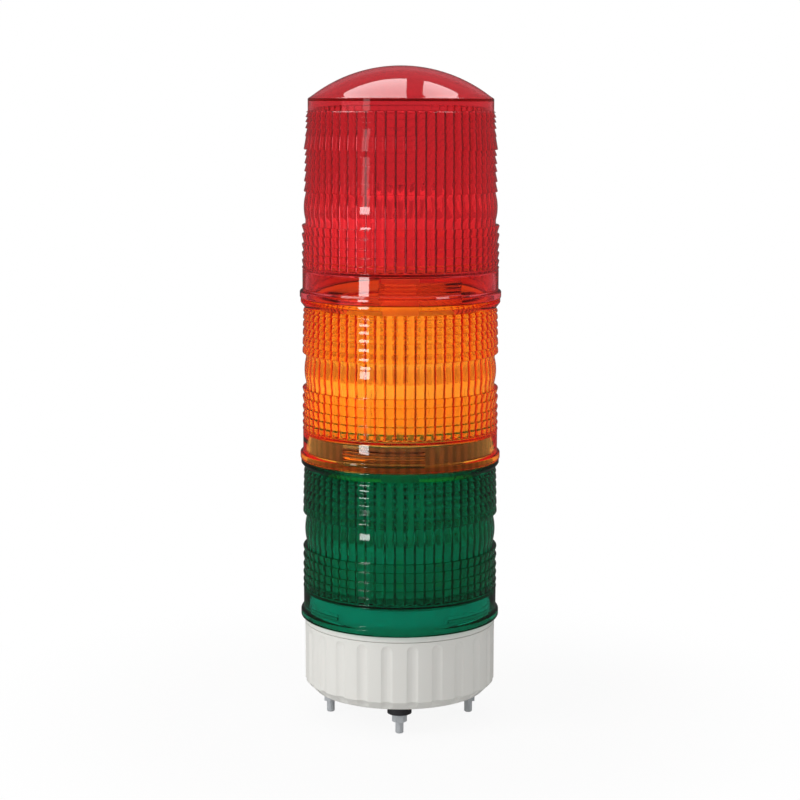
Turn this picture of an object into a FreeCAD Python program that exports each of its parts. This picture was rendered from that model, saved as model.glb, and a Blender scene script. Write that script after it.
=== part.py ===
import FreeCAD, Part

import math
import os

from FreeCAD import Vector

# Stack light: three ring lenses (green, amber, red from the bottom up) twisted one onto the other over a
# fluted base that is fixed by four studs. Millimetres, +Z up. The axis of the tower is the Z axis, the
# stud tips stand on z = 0, and the front is towards -Y.

# ---- Driving dimensions ---------------------------------------------------------------------------------

# Fits and clearances
TURN_FIT = 0.35  # radial room between a lens and the spigot that it turns on
LUG_GAP = 0.3  # room above a lens lug, and between its end and the stop
SLIP_FIT = 0.2  # radial room of a piece that slips over or into another of the base
SCREW_FIT = 0.05  # radial room round a screw or stud

# Base
BASE_INSET = 0.8  # how far the side of the base stands inside the collar of the green lens
BASE_HEIGHT = 47.3  # from the underside to the plane that the green lens stands on
BASE_WALL = 2.6
BASE_FLOOR = 2.6
BASE_BEVEL = 5.7  # 45 degree bevel round the foot of the housing
COVER_BAND = 3.2  # plain band round the top cover, and the cover's thickness
PARTING_GAP = 0.4  # groove between the housing and the cover
PARTING_LAND = 1.3  # how far that groove cuts in
COVER_SKIRT = 3.0  # how deep the cover's locating skirt reaches
SKIRT_WALL = 1.5
COVER_HOLE_R = 9.0  # way for the leads
FLUTE_COUNT = 24
FLUTE_WIDTH = 7.6
FLUTE_DEPTH = 0.9
FLUTE_TOP = 6.0  # plain height left above the flutes
FLUTE_FOOT = 1.0  # plain rim left on the bevel below the flutes

# Studs, pads and nuts
STUD_REACH = 18.0  # from the underside of the base to the stud tips
STUD_COUNT = 4
STUD_INSET = 10.3  # from the edge of the flat underside to the middle of a stud
STUD_R = 2.5
STUD_SHANK_R = 2.4  # under the nut, pad and housing, where the thread isn't free
STUD_TIP_BEVEL = 0.5
HEX_ACROSS = 8.0
STUD_HEAD = 3.5
PAD_R = 7.55
PAD_NECK_R = 7.2
PAD_THICKNESS = 5.0
NUT_HEIGHT = 5.6
NUT_FLANGE_R = 5.5
NUT_FLANGE = 1.2
STUD_PLATE_ROOM = 2.3  # from the edge of the stud plate to the edge of the floor inside the base
STUD_PLATE_HOLE_R = 20.0
STUD_PLATE_THICKNESS = 2.0

# Cable grommet
GROMMET_BORE_R = 4.5
GROMMET_R = 7.0
GROMMET_FLANGE_R = 10.0
GROMMET_FLANGE = 1.5

# Cover screws and their bosses
COVER_SCREW_COUNT = 4
COVER_SCREW_R = 1.75
COVER_SCREW_LENGTH = 14.0
COVER_SCREW_HEAD_R = 3.2
COVER_SCREW_HEAD = 2.4
BOSS_R = 4.0
BOSS_GAP = 2.4  # from a boss to the side wall, spanned by its web
BOSS_WEB = 2.0
BOSS_HOLE_SPARE = 2.0  # depth of a boss's hole past the end of its screw

# Control board
BOARD_R = 40.0
BOARD_THICKNESS = 1.6
BOARD_LIFT = 15.4  # from the stud plate to the board
STANDOFF_COUNT = 4
STANDOFF_INSET = 6.0  # from the edge of the board to the middle of a standoff
STANDOFF_R = 3.2
BOARD_SCREW_R = 1.5
BOARD_SCREW_LENGTH = 7.0
BOARD_SCREW_HEAD_R = 2.8
BOARD_SCREW_HEAD = 2.0
TERMINAL_POLES = 5
TERMINAL_PITCH = 5.0
TERMINAL_DEPTH = 8.0
TERMINAL_HEIGHT = 10.0
TERMINAL_INSET = 14.0  # from the edge of the board to the middle of the terminals
TERMINAL_HOLE_R = 1.4
TERMINAL_ENTRY_RISE = 3.3  # from the board to the middle of a wire entry
TERMINAL_SCREW_DEPTH = 2.5
CAPACITOR_R = 5.0
CAPACITOR_HEIGHT = 12.0
CAPACITOR_COUNT = 3
CAPACITOR_GAP = 2.0
CAPACITOR_INSET = 12.0  # from the edge of the board to the middle of the capacitors
CHIP_LENGTH = 9.0
CHIP_WIDTH = 6.5
CHIP_HEIGHT = 2.0
CHIP_OFFSET = 16.0
CHIP_TURN = 30.0  # degrees from +X to the first chip

# Stages, counted from the bottom
STAGE_PITCH = 100.7
SEAL_THICKNESS = 0.5
SEAL_EDGE = 0.5  # how far the sealing ring stays inside the base's side
SPIGOT_HEIGHT = 15.0
SPIGOT_WALL = 2.0
LUG_DEPTH = 1.0
LUG_HEIGHT = 1.8
LUG_RISE = 6.0  # from a lens's lip to the underside of its own lugs
LUG_COUNT = 3
LUG_SPAN = 50.0  # degrees
STOP_SPAN = 1.5  # degrees
BASE_LUG_TURN = -35.0  # degrees from +X to the middle of a lug
GREEN_LUG_TURN = -100.5
AMBER_LUG_TURN = -77.5

# Lenses. Heights are from the plane of the lens's own lip, and the rings are placed from its focal plane.
COLLAR_R = 60.8
COLLAR_WALL = 2.4
COLLAR_ROOM = 1.0  # above the spigot inside the collar, and from there to the first ring
LIP_PROUD = 1.7  # beyond the collar
LIP_HEIGHT = 3.8
LIP_SLOPE = 1.4
FOCUS_DROP = 0.45  # from the middle of the optic down to its focal plane
BULGE_INSET = 1.0  # from the collar's side in to the crown of the bulge
BULGE_CROWN = 1.0
BULGE_HALF = 7.6
RING_PROUD = 0.3  # beyond the collar
RING_DEPTH = 1.5
RING_SHARES = (0.277, 0.417, 0.578, 0.711, 0.835, 0.947)  # of the way from the focal plane to the collar
UPPER_TIP_FALL = 0.12  # each ring above the bulge is this much smaller than the last
LOWER_ROOT_RISE = 0.15  # each groove below the bulge is this much shallower than the last
NECK = 0.2  # plain height between the last ring and the shoulder
SHOULDER_PROUD = 1.2  # beyond the collar
SHOULDER_UNDERCUT = 3.2
SHOULDER_HEIGHT = 2.3

# Fine vertical ribs inside every lens
RIB_COUNT = 60
RIB_DEPTH = 0.55
RIB_END = 5.0  # from the top of the ribs to the shoulder of the lens

# Upper part of the red lens, which narrows towards its dome
RED_OPTIC = 58.6  # from the focal plane to the plain rim
RED_SHARES = (0.1655, 0.2696, 0.3737, 0.4556, 0.5392, 0.6024, 0.7372, 0.8191, 0.8823, 0.9334, 0.9846)
RED_INSET = 1.0  # from the collar's side in to the tip of the first ring
RED_TIP_SLOPE = 0.028  # tip radius lost per millimetre of height
RED_RING_DEPTH = 1.4
RED_PROUD_RING = 5  # the ring, counted from 0, that stands out a little
RED_PROUD = 0.6
RIM_BAND = 7.8  # height of the plain rim under the dome
RIM_INSET = 3.7  # from the collar's side in to the rim
RIM_LEDGE = 1.2
DOME_RISE = 19.75
DOME_WALL = 2.4

# Column through the stages
FOOT_R = 24.0
FOOT_FLANGE = 4.0
FOOT_HUB_R = 14.0
FOOT_SCREW_COUNT = 3
FOOT_SCREW_CIRCLE = 38.0
FOOT_SCREW_LENGTH = 6.5
TUBE_R = 10.0
TUBE_WALL = 2.0
HUB_R = 13.0
SPACER_R = 12.0
TUBE_END = 3.0  # tube left standing above the nut
WASHER_R = 15.0
WASHER_THICKNESS = 1.5
COLUMN_NUT_ACROSS = 27.0
COLUMN_NUT_HEIGHT = 7.0

# Lamp units
DRUM_SIDES = 12
DRUM_ROOM = 11.5  # from the crests of the lens's ribs to the flats of the drum
DRUM_WALL = 2.0
DRUM_FLOOR = 2.0
DRUM_LOW = 22.0  # above the stage's plane
DRUM_HIGH = 52.0
HUB_LOW = 18.0
HUB_HIGH = 54.0
STRIP_WIDTH = 10.0
STRIP_THICKNESS = 1.0
STRIP_MARGIN = 2.0  # from the drum's lower and upper edges
DIODES_PER_STRIP = 2
DIODE_SIZE = 3.5
DIODE_HEIGHT = 1.0

# Leads
LEAD_R = 0.8
LEAD_OFFSET = 4.0  # from the axis, inside the tube
LEAD_BEND = 5.0
LEAD_RISE = 38.0  # above the stage's plane, where the lead leaves the column
LEAD_HOLE_R = 2.0
LEAD_TURNS = (30.0, 150.0, 270.0)

# ---- Derived sizes and levels ---------------------------------------------------------------------------

base_r = COLLAR_R - BASE_INSET
base_low = STUD_REACH
base_top = base_low + BASE_HEIGHT
floor_top = base_low + BASE_FLOOR
cover_top = base_top - SEAL_THICKNESS
cover_low = cover_top - COVER_BAND
base_bore = base_r - BASE_WALL
floor_edge_r = base_bore - BASE_BEVEL + BASE_FLOOR
boss_offset = base_bore - BOSS_GAP - BOSS_R
stud_offset = base_r - BASE_BEVEL - STUD_INSET
standoff_offset = BOARD_R - STANDOFF_INSET
foot_screw_offset = FOOT_SCREW_CIRCLE / 2
plate_top = floor_top + STUD_PLATE_THICKNESS
board_low = plate_top + BOARD_LIFT
board_top = board_low + BOARD_THICKNESS
pad_low = base_low - PAD_THICKNESS
nut_low = pad_low - NUT_HEIGHT

collar_bore = COLLAR_R - COLLAR_WALL
spigot_lug_r = collar_bore - TURN_FIT
spigot_r = spigot_lug_r - LUG_DEPTH
lens_lug_r = spigot_r + TURN_FIT
spigot_bore = spigot_r - SPIGOT_WALL
rib_crest = spigot_bore - RIB_DEPTH
collar_room = SPIGOT_HEIGHT + COLLAR_ROOM
shoulder_top = STAGE_PITCH - SEAL_THICKNESS
shoulder_low = shoulder_top - SHOULDER_HEIGHT
optic_low = collar_room + COLLAR_ROOM
optic_high = shoulder_low - SHOULDER_UNDERCUT
focus_height = (optic_low + optic_high) / 2 - FOCUS_DROP
ring_offsets = [share * (focus_height - optic_low) for share in RING_SHARES]
ring_tip_r = COLLAR_R + RING_PROUD
ring_root_r = ring_tip_r - RING_DEPTH
bulge_r = COLLAR_R - BULGE_INSET
bulge_edge_r = bulge_r - BULGE_CROWN
rim_low = focus_height + RED_OPTIC
rim_high = rim_low + RIM_BAND
rim_r = COLLAR_R - RIM_INSET

tube_bore = TUBE_R - TUBE_WALL
hub_bore = TUBE_R + SLIP_FIT
drum_flat = rib_crest - DRUM_ROOM
stages = [base_top + number * STAGE_PITCH for number in range(3)]
washer_low = stages[-1] + HUB_HIGH
washer_top = washer_low + WASHER_THICKNESS
nut_top = washer_top + COLUMN_NUT_HEIGHT


# ---- Shapes that several pieces use ---------------------------------------------------------------------


def turned(start, *steps):
    """Solid turned from a closed half-section of (radius, height) points. A pair of points is an arc."""
    edges = []
    here = Vector(start[0], 0, start[1])
    for step in steps + (start,):
        if isinstance(step[0], tuple):
            middle, end = (Vector(r, 0, z) for r, z in step)
            edges.append(Part.Arc(here, middle, end).toShape())
        else:
            end = Vector(step[0], 0, step[1])
            edges.append(Part.LineSegment(here, end).toShape())
        here = end
    return Part.Face(Part.Wire(edges)).revolve(Vector(), Vector(0, 0, 1), 360)


def disc(radius, low, high, x=0.0, y=0.0):
    """Upright cylinder."""
    return Part.makeCylinder(radius, high - low, Vector(x, y, low))


def ring(bore, radius, low, high, x=0.0, y=0.0):
    """Upright tube."""
    return disc(radius, low, high, x, y).cut(disc(bore, low, high, x, y))


def prism(sides, flat, low, high, x=0.0, y=0.0):
    """Upright prism with its flats this far from its axis, the first one facing +X."""
    corner = flat / math.cos(math.pi / sides)
    angles = [(number + 0.5) * 2 * math.pi / sides for number in range(sides + 1)]
    points = [Vector(x + corner * math.cos(a), y + corner * math.sin(a), low) for a in angles]
    return Part.Face(Part.makePolygon(points)).extrude(Vector(0, 0, high - low))


def box(length, width, low, high, x=0.0, y=0.0):
    """Upright block about the point x, y."""
    return Part.makeBox(length, width, high - low, Vector(x - length / 2, y - width / 2, low))


def turn(shape, degrees):
    """Copy of a shape, turned about the axis of the tower."""
    copy = shape.copy()
    copy.rotate(Vector(), Vector(0, 0, 1), degrees)
    return copy


def around(shape, count, start=0.0):
    """Copies of a shape, evenly spaced about the axis of the tower."""
    return [turn(shape, start + number * 360.0 / count) for number in range(count)]


def lift(shape, height):
    """Copy of a shape, moved up."""
    copy = shape.copy()
    copy.translate(Vector(0, 0, height))
    return copy


def sector(bore, radius, low, high, middle, span):
    """Part of a ring, about the angle middle, over span degrees."""
    outline = turned((bore, low), (radius, low), (radius, high), (bore, high))
    wedge = Part.makeCylinder(2 * radius, high - low, Vector(0, 0, low), Vector(0, 0, 1), span)
    return outline.common(turn(wedge, middle - span / 2))


def save(node, *solids):
    """Write one node, as a single solid or a group of separate ones."""
    shape = solids[0] if len(solids) == 1 else Part.makeCompound(list(solids))
    shape.exportStep("parts/" + node + ".step")


# ---- Spigot and lugs that join the stages ---------------------------------------------------------------


def spigot(plane, lug_turn):
    """Wall that a lens turns on, with its lugs and the stops for the lens's lugs, as a list to fuse."""
    wall_low = plane - SEAL_THICKNESS
    lug_low = plane + LUG_RISE + LUG_HEIGHT + LUG_GAP
    stop_low = plane + LUG_RISE
    lug = sector(spigot_r - TURN_FIT, spigot_lug_r, lug_low, lug_low + LUG_HEIGHT, lug_turn, LUG_SPAN)
    stop_turn = lug_turn - (LUG_SPAN + STOP_SPAN) / 2 - math.degrees(LUG_GAP / lens_lug_r)
    stop_high = lug_low + LUG_HEIGHT
    stop = sector(spigot_r - TURN_FIT, spigot_lug_r, stop_low, stop_high, stop_turn, STOP_SPAN)
    wall = ring(spigot_bore, spigot_r, wall_low, plane + SPIGOT_HEIGHT)
    return [wall] + around(lug, LUG_COUNT) + around(stop, LUG_COUNT)


def lens_lugs(lug_turn):
    """Lugs inside a lens's collar, which pass under those of the spigot."""
    low = LUG_RISE
    lug = sector(lens_lug_r, collar_bore + TURN_FIT, low, low + LUG_HEIGHT, lug_turn, LUG_SPAN)
    return around(lug, LUG_COUNT)


def seal_ring(plane):
    """Flat ring between a shoulder and the lip that stands on it."""
    return ring(spigot_r + SLIP_FIT, base_r - SEAL_EDGE, plane - SEAL_THICKNESS, plane)


# ---- Base -----------------------------------------------------------------------------------------------


def flute_cutter():
    """Round-ended tool for one flute, which runs down the side of the housing and on down its bevel."""
    half = FLUTE_WIDTH / 2
    radius = (half**2 + FLUTE_DEPTH**2) / (2 * FLUTE_DEPTH)
    away = radius - FLUTE_DEPTH
    bevel_run = math.sqrt(2) * BASE_BEVEL - FLUTE_FOOT - half
    corner_run = away * math.tan(math.pi / 8)
    top = Vector(base_r + away, 0, base_top - FLUTE_TOP - half)
    bend = Vector(base_r + away, 0, base_low + BASE_BEVEL - corner_run)
    foot = bend - Vector(1, 0, 1).normalize() * (bevel_run + corner_run)
    tool = Part.makeSphere(radius, top)
    for start, end in ((top, bend), (bend, foot)):
        run = end - start
        tool = tool.fuse([Part.makeCylinder(radius, run.Length, start, run), Part.makeSphere(radius, end)])
    return tool


def base_housing():
    """Moulded cup with a bevelled foot, flutes all round, and bosses for the cover screws."""
    land_r = base_r - PARTING_LAND
    groove = cover_low - PARTING_GAP
    shell = turned(
        (GROMMET_R, base_low),
        (base_r - BASE_BEVEL, base_low),
        (base_r, base_low + BASE_BEVEL),
        (base_r, groove),
        (land_r, groove),
        (land_r, cover_low),
        (base_bore, cover_low),
        (base_bore, base_low + BASE_BEVEL),
        (floor_edge_r, floor_top),
        (GROMMET_R, floor_top),
    )
    spacing = 360.0 / COVER_SCREW_COUNT
    boss = disc(BOSS_R, floor_top - SLIP_FIT, cover_low, boss_offset)
    web_length = base_bore + SLIP_FIT - boss_offset
    web_middle = boss_offset + web_length / 2
    web = box(web_length, BOSS_WEB, floor_top + BASE_BEVEL, cover_low - COVER_SKIRT, web_middle)
    hole_low = cover_top - COVER_SCREW_LENGTH - BOSS_HOLE_SPARE
    hole = disc(COVER_SCREW_R + SCREW_FIT, hole_low, cover_low, boss_offset)
    stud_hole = disc(STUD_SHANK_R + SCREW_FIT, base_low, floor_top, stud_offset)
    bosses = around(boss.fuse(web), COVER_SCREW_COUNT, spacing / 2)
    solid = shell.fuse(bosses)
    solid = solid.cut(around(hole, COVER_SCREW_COUNT, spacing / 2) + around(stud_hole, STUD_COUNT))
    flutes = around(flute_cutter(), FLUTE_COUNT, 180.0 / FLUTE_COUNT)
    return solid.cut(flutes)


def base_top_cover():
    """Lid of the base with the spigot for the green lens and a skirt that centres it in the housing."""
    skirt_r = base_bore - SLIP_FIT
    spacing = 360.0 / COVER_SCREW_COUNT
    lid = ring(COVER_HOLE_R, base_r, cover_low, cover_top)
    skirt = ring(skirt_r - SKIRT_WALL, skirt_r, cover_low - COVER_SKIRT, cover_low)
    solid = lid.fuse([skirt] + spigot(base_top, BASE_LUG_TURN))
    boss_room = disc(BOSS_R + SLIP_FIT, cover_low - COVER_SKIRT, cover_low, boss_offset)
    hole = disc(COVER_SCREW_R + SCREW_FIT, cover_low, cover_top, boss_offset)
    foot_hole = disc(BOARD_SCREW_R + SCREW_FIT, cover_low, cover_top, foot_screw_offset)
    cuts = around(boss_room.fuse(hole), COVER_SCREW_COUNT, spacing / 2)
    return solid.cut(cuts + around(foot_hole, FOOT_SCREW_COUNT))


def screw(shank_r, length, head_r, head_height, seat, x):
    """Pan-head screw whose head stands on the level seat."""
    return disc(shank_r, seat - length, seat, x).fuse(disc(head_r, seat, seat + head_height, x))


def mounting_stud():
    """Hexagon bolt put through the base from inside, with its thread free below the nut."""
    x = stud_offset
    section = turned(
        (0, 0),
        (STUD_R - STUD_TIP_BEVEL, 0),
        (STUD_R, STUD_TIP_BEVEL),
        (STUD_R, nut_low),
        (STUD_SHANK_R, nut_low),
        (STUD_SHANK_R, plate_top),
        (0, plate_top),
    )
    section.translate(Vector(x, 0, 0))
    return section.fuse(prism(6, HEX_ACROSS / 2, plate_top, plate_top + STUD_HEAD, x))


def mounting_pad():
    """Rubber pad under the base, a little wider at its lower edge."""
    pad = turned(
        (STUD_SHANK_R + SCREW_FIT, pad_low),
        (PAD_R, pad_low),
        (PAD_R, pad_low + PAD_THICKNESS / 4),
        (PAD_NECK_R, base_low - PAD_THICKNESS / 4),
        (PAD_NECK_R, base_low),
        (STUD_SHANK_R + SCREW_FIT, base_low),
    )
    pad.translate(Vector(stud_offset, 0, 0))
    return pad


def flange_nut():
    """Hexagon nut with its flange up against the pad."""
    x = stud_offset
    body = prism(6, HEX_ACROSS / 2, nut_low, pad_low, x)
    flange = disc(NUT_FLANGE_R, pad_low - NUT_FLANGE, pad_low, x)
    return body.fuse(flange).cut(disc(STUD_SHANK_R + SCREW_FIT, nut_low, pad_low, x))


def stud_plate():
    """Steel plate that spreads the load of the studs over the floor, notched round the bosses."""
    plate = ring(STUD_PLATE_HOLE_R, floor_edge_r - STUD_PLATE_ROOM, floor_top, plate_top)
    hole = disc(STUD_SHANK_R + SCREW_FIT, floor_top, plate_top, stud_offset)
    notch = disc(BOSS_R + SLIP_FIT, floor_top, plate_top, boss_offset)
    notches = around(notch, COVER_SCREW_COUNT, 180.0 / COVER_SCREW_COUNT)
    return plate.cut(around(hole, STUD_COUNT) + notches)


def cable_grommet():
    """Rubber ring that grips the edge of the floor's hole."""
    low = base_low - GROMMET_FLANGE
    high = floor_top + GROMMET_FLANGE
    return turned(
        (GROMMET_BORE_R, low),
        (GROMMET_FLANGE_R, low),
        (GROMMET_FLANGE_R, base_low),
        (GROMMET_R, base_low),
        (GROMMET_R, floor_top),
        (GROMMET_FLANGE_R, floor_top),
        (GROMMET_FLANGE_R, high),
        (GROMMET_BORE_R, high),
    )


# ---- Control board --------------------------------------------------------------------------------------


def control_board():
    """Round board with its fixing holes."""
    hole = disc(BOARD_SCREW_R + SCREW_FIT, board_low, board_top, standoff_offset)
    holes = around(hole, STANDOFF_COUNT, 180.0 / STANDOFF_COUNT)
    return disc(BOARD_R, board_low, board_top).cut(holes)


def standoff():
    """Spacer that carries the board on the stud plate."""
    return ring(BOARD_SCREW_R + SCREW_FIT, STANDOFF_R, plate_top, board_low, standoff_offset)


def terminal_block():
    """Row of screw terminals on the board, with a wire entry for each pole."""
    length = TERMINAL_POLES * TERMINAL_PITCH
    high = board_top + TERMINAL_HEIGHT
    offset = BOARD_R - TERMINAL_INSET
    block = box(length, TERMINAL_DEPTH, board_top, high, 0, offset)
    entries = []
    for pole in range(TERMINAL_POLES):
        x = (pole + 0.5) * TERMINAL_PITCH - length / 2
        start = Vector(x, offset + TERMINAL_DEPTH / 2, board_top + TERMINAL_ENTRY_RISE)
        entries.append(Part.makeCylinder(TERMINAL_HOLE_R, TERMINAL_DEPTH / 2, start, Vector(0, -1, 0)))
        entries.append(disc(TERMINAL_HOLE_R, high - TERMINAL_SCREW_DEPTH, high, x, offset))
    return block.cut(entries)


def board_capacitors():
    """Upright capacitors in a row on the board."""
    pitch = 2 * CAPACITOR_R + CAPACITOR_GAP
    return [
        disc(
            CAPACITOR_R,
            board_top,
            board_top + CAPACITOR_HEIGHT,
            (number - (CAPACITOR_COUNT - 1) / 2) * pitch,
            CAPACITOR_INSET - BOARD_R,
        )
        for number in range(CAPACITOR_COUNT)
    ]


def driver_chips():
    """One driver for each stage, about the middle of the board."""
    chip = box(CHIP_LENGTH, CHIP_WIDTH, board_top, board_top + CHIP_HEIGHT, CHIP_OFFSET)
    return around(chip, len(stages), CHIP_TURN)


# ---- Column and lamp units ------------------------------------------------------------------------------


def lead_hole(stage, radius, reach):
    """Radial hole that lets a stage's lead out of the column."""
    start = Vector(0, 0, stages[stage] + LEAD_RISE)
    return turn(Part.makeCylinder(radius, reach, start, Vector(1, 0, 0)), LEAD_TURNS[stage])


def column_foot():
    """Flanged socket on the top cover that the column tube stands in."""
    foot = turned(
        (hub_bore, cover_top),
        (FOOT_R, cover_top),
        (FOOT_R, cover_top + FOOT_FLANGE),
        (FOOT_HUB_R, cover_top + FOOT_FLANGE),
        (FOOT_HUB_R, base_top + HUB_LOW),
        (hub_bore, base_top + HUB_LOW),
    )
    hole = disc(
        BOARD_SCREW_R + SCREW_FIT,
        cover_top,
        cover_top + FOOT_FLANGE,
        foot_screw_offset,
    )
    return foot.cut(around(hole, FOOT_SCREW_COUNT))


def column_tube():
    """Tube that carries the lamp units and takes the leads up inside."""
    tube = ring(tube_bore, TUBE_R, cover_top, nut_top + TUBE_END)
    return tube.cut([lead_hole(stage, LEAD_HOLE_R, HUB_R) for stage in range(len(stages))])


def spacer(stage):
    """Sleeve between the hub of one lamp unit and that of the next."""
    return ring(hub_bore, SPACER_R, stages[stage] + HUB_HIGH, stages[stage + 1] + HUB_LOW)


def lamp_drum(stage):
    """White drum with a flat for each light board, a floor, and a hub on the column."""
    low = stages[stage] + DRUM_LOW
    high = stages[stage] + DRUM_HIGH
    inside = drum_flat - DRUM_WALL
    wall = prism(DRUM_SIDES, drum_flat, low, high)
    wall = wall.cut(prism(DRUM_SIDES, inside, low + DRUM_FLOOR, high))
    hub = disc(HUB_R, stages[stage] + HUB_LOW, stages[stage] + HUB_HIGH)
    bore = disc(hub_bore, stages[stage] + HUB_LOW, stages[stage] + HUB_HIGH)
    return wall.fuse(hub).cut([bore, lead_hole(stage, LEAD_HOLE_R, inside)])


def light_boards(stage):
    """One board on each flat of the drum."""
    x = drum_flat + STRIP_THICKNESS / 2
    low = stages[stage] + DRUM_LOW + STRIP_MARGIN
    high = stages[stage] + DRUM_HIGH - STRIP_MARGIN
    return around(box(STRIP_THICKNESS, STRIP_WIDTH, low, high, x), DRUM_SIDES)


def diodes(stage):
    """Light-emitting diodes, evenly spaced up each board."""
    x = drum_flat + STRIP_THICKNESS + DIODE_HEIGHT / 2
    low = stages[stage] + DRUM_LOW + STRIP_MARGIN
    step = (DRUM_HIGH - DRUM_LOW - 2 * STRIP_MARGIN) / DIODES_PER_STRIP
    found = []
    for number in range(DIODES_PER_STRIP):
        middle = low + (number + 0.5) * step
        diode = box(DIODE_HEIGHT, DIODE_SIZE, middle - DIODE_SIZE / 2, middle + DIODE_SIZE / 2, x)
        found += around(diode, DRUM_SIDES)
    return found


def lead(stage):
    """Lead from the board up the tube, and out through the hub to the wall of the stage's drum."""
    level = stages[stage] + LEAD_RISE
    reach = drum_flat - DRUM_WALL
    corner = LEAD_BEND * (1 - math.sqrt(0.5))
    rise = Part.LineSegment(Vector(LEAD_OFFSET, 0, board_top), Vector(LEAD_OFFSET, 0, level - LEAD_BEND))
    bend = Part.Arc(
        Vector(LEAD_OFFSET, 0, level - LEAD_BEND),
        Vector(LEAD_OFFSET + corner, 0, level - corner),
        Vector(LEAD_OFFSET + LEAD_BEND, 0, level),
    )
    run = Part.LineSegment(Vector(LEAD_OFFSET + LEAD_BEND, 0, level), Vector(reach, 0, level))
    path = Part.Wire([rise.toShape(), bend.toShape(), run.toShape()])
    end = Part.Wire(Part.Circle(Vector(LEAD_OFFSET, 0, board_top), Vector(0, 0, 1), LEAD_R).toShape())
    return turn(path.makePipeShell([end], True, False), LEAD_TURNS[stage])


# ---- Lenses ---------------------------------------------------------------------------------------------


def rings_below():
    """Half-section of the rings below the bulge, going up. Each has its flat side towards the bulge."""
    points = []
    levels = [focus_height - offset for offset in ring_offsets] + [optic_low]
    for number in reversed(range(len(ring_offsets))):
        root = ring_root_r + LOWER_ROOT_RISE * number
        points.append((root, levels[number + 1]))
        points.append((ring_tip_r, levels[number]))
    points.append((bulge_edge_r, levels[0]))
    return points


def rings_above(offsets, tip_radii, depth, end):
    """Half-section of the rings above the bulge, going up to the height end, with their flat sides down."""
    levels = [focus_height + offset for offset in offsets]
    points = [(tip_radii[0] - depth, levels[0])]
    for low, high, tip in zip(levels, levels[1:] + [end], tip_radii):
        points.append((tip, low))
        points.append((tip - depth, high))
    return points


def lens_section_start():
    """Half-section from the foot of the lip up to the end of the bulge."""
    lip_r = COLLAR_R + LIP_PROUD
    steps = [(lip_r, 0), (lip_r, LIP_HEIGHT), (COLLAR_R, LIP_HEIGHT + LIP_SLOPE), (COLLAR_R, optic_low)]
    steps += rings_below()
    steps.append((bulge_edge_r, focus_height - BULGE_HALF))
    steps.append(((bulge_r, focus_height), (bulge_edge_r, focus_height + BULGE_HALF)))
    return steps


def ribbed_core(high):
    """Inside of a lens: the bore of the collar, and above it the core that leaves the vertical ribs."""
    half = math.pi / RIB_COUNT
    ribs = []
    for number in range(RIB_COUNT):
        middle = 2 * half * number
        start, crest, end = (
            Vector(radius * math.cos(angle), radius * math.sin(angle), 0)
            for radius, angle in (
                (spigot_bore, middle - half),
                (rib_crest, middle),
                (spigot_bore, middle + half),
            )
        )
        ribs.append(Part.Arc(start, crest, end).toShape())
    core = Part.Face(Part.Wire(ribs)).extrude(Vector(0, 0, high - collar_room))
    cone_r = rib_crest - RIB_DEPTH
    collar = turned(
        (0, 0),
        (collar_bore, 0),
        (collar_bore, collar_room),
        (cone_r, collar_room + collar_bore - cone_r),
        (0, collar_room + collar_bore - cone_r),
    )
    return collar.fuse(lift(core, collar_room))


def stage_lens(stage, own_lugs, spigot_lugs):
    """Lens that carries the next one: rings, bulge, shoulder and spigot outside, ribs inside."""
    tips = [ring_tip_r - UPPER_TIP_FALL * number for number in range(len(ring_offsets))]
    shoulder_r = COLLAR_R + SHOULDER_PROUD
    steps = lens_section_start()
    steps += rings_above(ring_offsets, tips, RING_DEPTH, optic_high - NECK)
    steps += [(ring_root_r, optic_high), (shoulder_r, shoulder_low), (shoulder_r, shoulder_top)]
    steps.append((0, shoulder_top))
    rib_high = shoulder_top - RIB_END
    core = ribbed_core(rib_high).fuse(disc(spigot_bore, rib_high, shoulder_top))
    body = turned((0, 0), *steps).cut(core)
    body = body.fuse(spigot(STAGE_PITCH, spigot_lugs) + lens_lugs(own_lugs))
    return lift(body, stages[stage])


def red_lens(own_lugs):
    """Top lens: the same collar, rings and bulge, then a narrowing stack of rings, a rim and the dome."""
    offsets = [share * RED_OPTIC for share in RED_SHARES]
    first_tip = COLLAR_R - RED_INSET
    tips = [first_tip - RED_TIP_SLOPE * (offset - offsets[0]) for offset in offsets]
    tips[RED_PROUD_RING] += RED_PROUD
    dome_r = rim_r - RIM_LEDGE
    apex = rim_high + DOME_RISE
    dome_radius = (dome_r**2 + DOME_RISE**2) / (2 * DOME_RISE)
    dome_centre = apex - dome_radius
    half_angle = math.asin(dome_r / dome_radius) / 2
    dome_middle = (dome_radius * math.sin(half_angle), dome_centre + dome_radius * math.cos(half_angle))
    steps = lens_section_start()
    steps += rings_above(offsets, tips, RED_RING_DEPTH, rim_low)
    steps += [(rim_r, rim_low), (rim_r, rim_high), (dome_r, rim_high)]
    steps.append((dome_middle, (0, apex)))
    inner_radius = dome_radius - DOME_WALL
    inner_half = math.asin(spigot_bore / inner_radius) / 2
    inner_middle = (inner_radius * math.sin(inner_half), dome_centre + inner_radius * math.cos(inner_half))
    inner_low = dome_centre + math.sqrt(inner_radius**2 - spigot_bore**2)
    hollow = turned(
        (0, rim_low),
        (spigot_bore, rim_low),
        (spigot_bore, inner_low),
        (inner_middle, (0, apex - DOME_WALL)),
    )
    body = turned((0, 0), *steps).cut(ribbed_core(rim_low).fuse(hollow))
    return lift(body.fuse(lens_lugs(own_lugs)), stages[-1])


# ---- The pieces, one node each --------------------------------------------------------------------------

os.makedirs("parts", exist_ok=True)

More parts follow.
